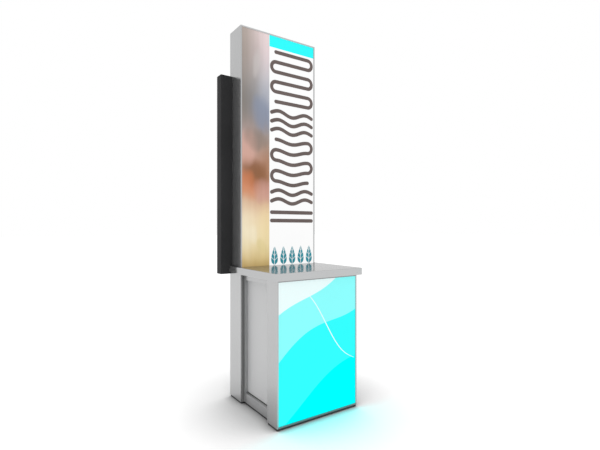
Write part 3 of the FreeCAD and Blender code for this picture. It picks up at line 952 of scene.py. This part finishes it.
    def leaf(self, name: str, middle: float, foot: float, face: Face) -> None:
        """A pointed leaf of film, slit along its rib and its veins.

        Each field between two veins is a grid: one way runs from the rib to the rim, the other
        from the lower vein to the upper one. The height share at the rib is raised to a power
        that falls from one at the rib to one over one plus the lean at the rim, so the veins
        climb outwards. The rim stands off the rib by half the leaf's width times the sine of
        the height share to the power of the belly, which draws the widest part down.

        Args:
            name: The piece's name.
            middle: Where the rib stands.
            foot: The level of the leaf's lower point.
            face: The sheet's face that it lies on.
        """
        out = np.linspace(0.0, 1.0, self.leaf_columns)
        border = np.linspace(0.0, 1.0, self.vein_count + 1)
        slit = self.leaf_gap / self.leaf_height / 2.0
        starts = np.append(0.0, border[1:-1] + slit)
        ends = np.append(border[1:-1] - slit, 1.0)
        vertices, faces, total = [], [], 0
        for side in (-1.0, 1.0):
            for low, high in zip(starts, ends):
                up = np.linspace(low, high, self.leaf_rows)
                share = up[:, None] ** (1.0 / (1.0 + self.vein_lean * out[None, :]))
                rim = self.leaf_width / 2.0 * np.sin(np.pi * share ** self.leaf_belly)
                x = middle + side * (self.leaf_gap / 2.0 + rim * out[None, :])
                z = foot + self.leaf_height * share
                vertices.append(face.lay(np.concatenate([x, x[:, ::-1]], axis=1),
                                         np.concatenate([z, z[:, ::-1]], axis=1),
                                         FilmCut().loop(len(out))))
                faces.append(bar_faces(len(up), 2 * len(out)) + total)
                total += len(vertices[-1])
        make_piece(name, np.concatenate(vertices), np.concatenate(faces), TEAL_FILM)


@dataclass
class FrontLightBox:
    """The low light box under the counter, with broad waves of colour on its lit face."""

    lip: float = 10.0 * MM
    trim: float = 0.2 * MM
    wave_count: float = 0.62
    line_width: float = 6.5 * MM

    def face(self) -> Face:
        """The open part of the lit sheet."""
        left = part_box("front_box_left_profile")
        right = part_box("front_box_right_profile")
        return open_face("front_box_face_panel", left[0][0] + self.lip, right[1][0] - self.lip,
                         left[0][2] + self.lip, left[1][2] - self.lip)

    def dress(self) -> None:
        """Finish the frame and its two sheets."""
        dress(UPRIGHT_FRAME, "front_box_left_profile", "front_box_right_profile")
        # The top and bottom lips are painted darker: painted shade under the counter and by the
        # floor.
        dress(SHADED_LIP_FRAME, "front_box_top_profile", "front_box_bottom_profile")
        dress(SKIN_METAL, "front_box_back_panel")
        dress(CLEAR_CYAN, "front_box_face_panel")

    def build(self) -> None:
        """Lay the tones and the thin pale line on the lit sheet."""
        face = self.face()
        left, right = face.left + self.trim, face.right - self.trim
        top, foot = level(face.top - self.trim), level(face.bottom + self.trim)
        upper = self.border(face, 0.70, 0.52, 0.075, 0.30)
        middle = self.border(face, 0.40, 0.42, 0.080, 0.08)
        lower = self.border(face, 0.02, 0.34, 0.060, 0.82)
        field_film("front_pale_field", left, right, upper, top, face, PALE_CYAN)
        field_film("front_light_field", left, right, middle, upper, face, LIGHT_CYAN)
        field_film("front_strong_field", left, right, foot, lower, face, STRONG_CYAN)
        self.line(face)

    def border(self, face: Face, start: float, climb: float, swing: float,
               phase: float) -> Curve:
        """A slow wave that climbs to the right, kept inside the face.

        Its level is a share of the face's height: a start, a climb times the way across, and
        a swing times the sine of the way, moved by a phase.

        Args:
            face: The sheet's face.
            start: The share at the left edge.
            climb: How much is added on the way to the right edge.
            swing: How far the wave goes up and down.
            phase: Where in its turn the wave starts, 0 to 1.

        Returns:
            The border's z for each x.
        """
        def curve(x: Array) -> Array:
            """The border's z at x."""
            way = (x - face.left) / face.width()
            turn = 2.0 * np.pi * (self.wave_count * way + phase)
            share = start + climb * way + swing * np.sin(turn)
            return np.clip(face.bottom + face.height() * share, face.bottom + self.trim,
                           face.top - self.trim)
        return curve

    def line(self, face: Face) -> None:
        """A thin pale line that falls across the waves, thickest in its middle."""
        way = np.linspace(0.0, 1.0, 120)
        x = face.left + face.width() * (0.20 + 0.775 * way)
        z = face.bottom + face.height() * (0.965 - 0.60 * way + 0.055 * np.sin(2 * np.pi * way))
        width = self.line_width * (0.35 + 0.65 * np.sin(np.pi * way))
        ribbon("front_pale_line", np.stack([x, z], axis=1), width, face, PALE_CYAN,
               FilmCut(thickness=0.2 * MM, lift=0.1 * MM))


@dataclass
class CabinetSides:
    """Rails, side sheets, back and floor between the two light boxes, with their gaskets."""

    gasket_height: float = 5.0 * MM
    gasket_reach: float = 2.5 * MM
    seal_width: float = 17.0 * MM
    seal_depth: float = 5.0 * MM
    arc_points: int = 9
    way_points: int = 5

    def dress(self) -> None:
        """Finish the rails, the sheets and what lies behind them."""
        dress(RAIL_METAL, "left_top_rail", "left_bottom_rail", "right_top_rail",
              "right_bottom_rail")
        dress(SKIN_METAL, "left_side_panel", "right_side_panel", "cabinet_floor")
        # The back sheet's darker tone is painted shade in its recess.
        dress(SHADED_BACK_METAL, "cabinet_back_panel")
        # The joint strips' darker tone is painted shade in the slot.
        dress(SHADED_STRIP_METAL, "left_joint_strip", "right_joint_strip")
        dress(INNER_METAL, "rear_top_cross_rail", "rear_bottom_cross_rail", "left_top_spacer",
              "left_bottom_spacer", "right_top_spacer", "right_bottom_spacer")

    def build(self) -> None:
        """Lay rubber gaskets along the side sheets' rails, and up the tower joint a seal of
        painted shade.

        A gasket's section is a quarter of an ellipse whose two straight sides touch the pieces
        that meet in its corner.
        """
        for side, sign, outer in (("left", -1.0, 0), ("right", 1.0, 1)):
            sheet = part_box(f"{side}_side_panel")
            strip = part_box(f"{side}_joint_strip")
            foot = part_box(f"{side}_bottom_rail")[1][2]
            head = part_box(f"{side}_top_rail")[0][2]
            for place, corner, lift in (("foot", foot, 1.0), ("head", head, -1.0)):
                ends = [(sheet[outer][0], end[1], corner) for end in sheet]
                self.gasket(f"{side}_{place}_gasket", *ends, (sign * self.gasket_reach, 0.0, 0.0),
                            (0.0, 0.0, lift * self.gasket_height))
            # The joint seal is partly painted shade: a dark rubber strip laid in the slot where
            # its shade falls.
            tower_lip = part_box(f"tower_{side}_profile")[0][1]
            ends = [(strip[outer][0], tower_lip, end[2]) for end in strip]
            self.gasket(f"{side}_joint_seal", *ends, (sign * self.seal_width, 0.0, 0.0),
                        (0.0, -self.seal_depth, 0.0), SHADE_SEAL_RUBBER)

    def gasket(self, name: str, start: Point, end: Point, out: Point, up: Point,
               finish: Finish = GASKET_RUBBER) -> None:
        """A quarter-round gasket from one point of a corner to another.

        The section's points are the corner plus the first reach times the cosine plus the
        second reach times the sine, for a quarter turn, closed by the corner itself.

        Args:
            name: The piece's name.
            start: Where it starts, in the corner.
            end: Where it ends.
            out: Its reach along one face.
            up: Its reach along the other.
            finish: The rubber.
        """
        turn = np.linspace(0.0, math.pi / 2.0, self.arc_points)
        section = np.outer(np.cos(turn), out) + np.outer(np.sin(turn), up)
        section = np.concatenate([section, np.zeros((1, 3))])
        way = np.linspace(0.0, 1.0, self.way_points)
        line = np.outer(1.0 - way, start) + np.outer(way, end)
        vertices = (line[:, None, :] + section[None, :, :]).reshape(-1, 3)
        make_piece(name, vertices, bar_faces(len(way), len(section)), finish)


@dataclass
class Counter:
    """The folded metal counter that wraps the tower."""

    def dress(self) -> None:
        """Finish the tray and its underside."""
        dress(COUNTER_METAL, "counter_top", "counter_underside")


@dataclass
class PortraitDisplay:
    """The display: housing, bezel, glass, the gasket round it and the plate behind it."""

    picture_width: float = 780.0 * MM
    picture_height: float = 1387.0 * MM
    bezel_side: float = 14.0 * MM
    bezel_end: float = 8.0 * MM
    gasket_reach: float = 2.5 * MM
    gasket_height: float = 1.4 * MM
    arc_points: int = 6

    def dress(self) -> None:
        """Finish the housing, the glass and the mounting plate."""
        dress(HOUSING_COAT, "display_back_cover", "display_bezel")
        dress(PLATE_COAT, "display_mount_plate")
        low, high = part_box("display_glass")
        screen = DarkScreen("dark_screen", "screen_glass", (0.007, 0.007, 0.009),
                            (0.003, 0.003, 0.003), (low[0] + high[0]) / 2.0,
                            (low[2] + high[2]) / 2.0, self.picture_width / 2.0,
                            self.picture_height / 2.0)
        dress(screen, "display_glass")

    def build(self) -> None:
        """Lay a rubber gasket round the glass, in the corner that it makes with the bezel.

        The section is a quarter of an ellipse, carried round the window's four corners. At a
        corner it is moved inward along both edges at once, which gives the mitre.
        """
        low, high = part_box("display_bezel")
        left, right = low[0] + self.bezel_side, high[0] - self.bezel_side
        bottom, top = low[2] + self.bezel_end, high[2] - self.bezel_end
        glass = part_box("display_glass")[1][1]
        corners = np.array([(left, bottom), (right, bottom), (right, top), (left, top)])
        inward = np.array([(1.0, 1.0), (-1.0, 1.0), (-1.0, -1.0), (1.0, -1.0)])
        turn = np.linspace(0.0, math.pi / 2.0, self.arc_points)
        reach = np.append(self.gasket_reach * np.cos(turn), 0.0)
        height = np.append(self.gasket_height * np.sin(turn), 0.0)
        flat = corners[:, None, :] + inward[:, None, :] * reach[None, :, None]
        vertices = np.stack(np.broadcast_arrays(flat[..., 0], glass + height, flat[..., 1]), -1)
        faces = skin_faces(len(corners), len(reach), ring=True)
        make_piece("glass_gasket", vertices.reshape(-1, 3), faces, GASKET_RUBBER)


@dataclass
class Plinths:
    """The dark recessed bases under everything that stands on the floor."""

    def dress(self) -> None:
        """Finish them all alike."""
        dress(PLINTH_PLASTIC, "front_box_plinth", "tower_plinth", "left_rail_plinth",
              "right_rail_plinth")


@dataclass
class Studio:
    """Pale floor, even light and the camera."""

    camera_place: Point = (-1.6550, -2.5032, 1.2481)
    camera_turn: float = 34.67
    sensor: float = 36.0
    focal_pixels: float = 416.21
    image_width: float = 600.0
    shift_pixels: float = 2.49
    floor_half: float = 60.0
    floor_lift: float = 1.17
    shade_reach: float = 0.6
    shade_power: float = 0.92
    contact_reach: float = 0.075
    contact_power: float = 0.52
    shade_samples: int = 12
    glow_colour: Colour = (0.0, 1.0, 1.0)
    glow_strength: float = 1.3
    glow_gap: float = 6.0 * MM

    def build(self) -> None:
        """Set the world, lay the floor and stand the camera."""
        self.light()
        self.floor()
        self.camera()

    def light(self) -> None:
        """An even white dome, at which a colour renders as it is written."""
        world = bpy.data.worlds.new("studio_dome")
        bpy.context.scene.world = world
        world.use_nodes = True
        background = world.node_tree.nodes["Background"]
        background.inputs["Color"].default_value = (*WHITE, 1.0)
        background.inputs["Strength"].default_value = 1.0
        bpy.context.scene.view_settings.view_transform = "Standard"

    def glow(self, name: str, face: Face) -> None:
        """The light that a lit sheet throws on the floor, beyond what its own shine gives.

        Args:
            name: The lamp's name.
            face: The lit sheet's open face; the lamp hangs just in front of it.
        """
        data = bpy.data.lights.new(name, "AREA")
        data.shape = "RECTANGLE"
        data.size = face.width()
        data.size_y = face.height()
        data.color = self.glow_colour
        data.energy = self.glow_strength * math.pi * face.width() * face.height()
        lamp = add_object(name, data)
        lamp.location = ((face.left + face.right) / 2.0, face.front - self.glow_gap,
                         (face.bottom + face.top) / 2.0)
        lamp.rotation_euler = (-math.pi / 2.0, 0.0, 0.0)
        lamp.visible_camera = False
        lamp.visible_glossy = False

    def floor(self) -> None:
        """A wide flat floor, as white as the dome where nothing stands over it."""
        half = self.floor_half
        corners = [(-half, -half, 0.0), (half, -half, 0.0), (half, half, 0.0), (-half, half, 0.0)]
        mesh = bpy.data.meshes.new("studio_floor")
        mesh.from_pydata(corners, [], [(0, 1, 2, 3)])
        material = bpy.data.materials.new("studio_floor_paint")
        self.paint_floor(Nodes(material))
        mesh.materials.append(material)
        floor = add_object("studio_floor", mesh)

    def paint_floor(self, nodes: Nodes) -> None:
        """White paint that deepens the shade close to the kiosk where the floor is looked at.

        Rays that light the scene meet plain white. Rays that look at the floor, straight or in
        a mirror, meet a white a little over full, times two shares of open sky, each raised to
        a power: one for all that stands within a wide reach and one for the nearest touch.
        """
        rays = nodes.add("LightPath").outputs
        looked_at = nodes.math("MAXIMUM", rays["Is Camera Ray"],
                               nodes.math("MAXIMUM", rays["Is Glossy Ray"],
                                          rays["Is Transmission Ray"]))
        wide = self.open_sky(nodes, self.shade_reach, self.shade_power)
        close = self.open_sky(nodes, self.contact_reach, self.contact_power)
        seen = nodes.math("MULTIPLY", nodes.math("MULTIPLY", wide, close), self.floor_lift)
        change = nodes.math("MULTIPLY", looked_at, nodes.math("SUBTRACT", seen, 1.0))
        tone = nodes.math("ADD", change, 1.0)
        nodes.surface(base=nodes.grey(tone), roughness=1.0, gloss=0.0)

    def open_sky(self, nodes: Nodes, reach: float, power: float) -> Socket:
        """The share of the sky over a point that nothing within a reach covers.

        Args:
            nodes: The tree to add to.
            reach: How far things are looked for.
            power: The power that the share is raised to.

        Returns:
            The share's socket, 0 to 1.
        """
        sky = nodes.add("AmbientOcclusion", distance=reach)
        sky.samples = self.shade_samples
        return nodes.math("POWER", sky.outputs["AO"], power)

    def camera(self) -> None:
        """A level camera turned to the right of the depth axis."""
        data = bpy.data.cameras.new("studio_camera")
        data.sensor_width = self.sensor
        data.lens = self.sensor * self.focal_pixels / self.image_width
        data.shift_y = self.shift_pixels / self.image_width
        data.clip_end = 4.0 * self.floor_half
        camera = add_object("studio_camera", data)
        camera.location = self.camera_place
        camera.rotation_euler = (math.pi / 2.0, 0.0, -math.radians(self.camera_turn))
        bpy.context.scene.camera = camera


def main() -> None:
    """Dress the solids and build the new pieces, one sub-assembly after the other."""
    logging.basicConfig(level=logging.INFO, format="%(name)s: %(message)s")
    studio = Studio()
    studio.build()
    front_box = FrontLightBox()
    parts = (TowerLightBox(), front_box, CabinetSides(), PortraitDisplay())
    for part in (*parts, Counter(), Plinths()):
        part.dress()
    for part in parts:
        part.build()
    studio.glow("front_glow", front_box.face())


if __name__ == "__main__":
    main()
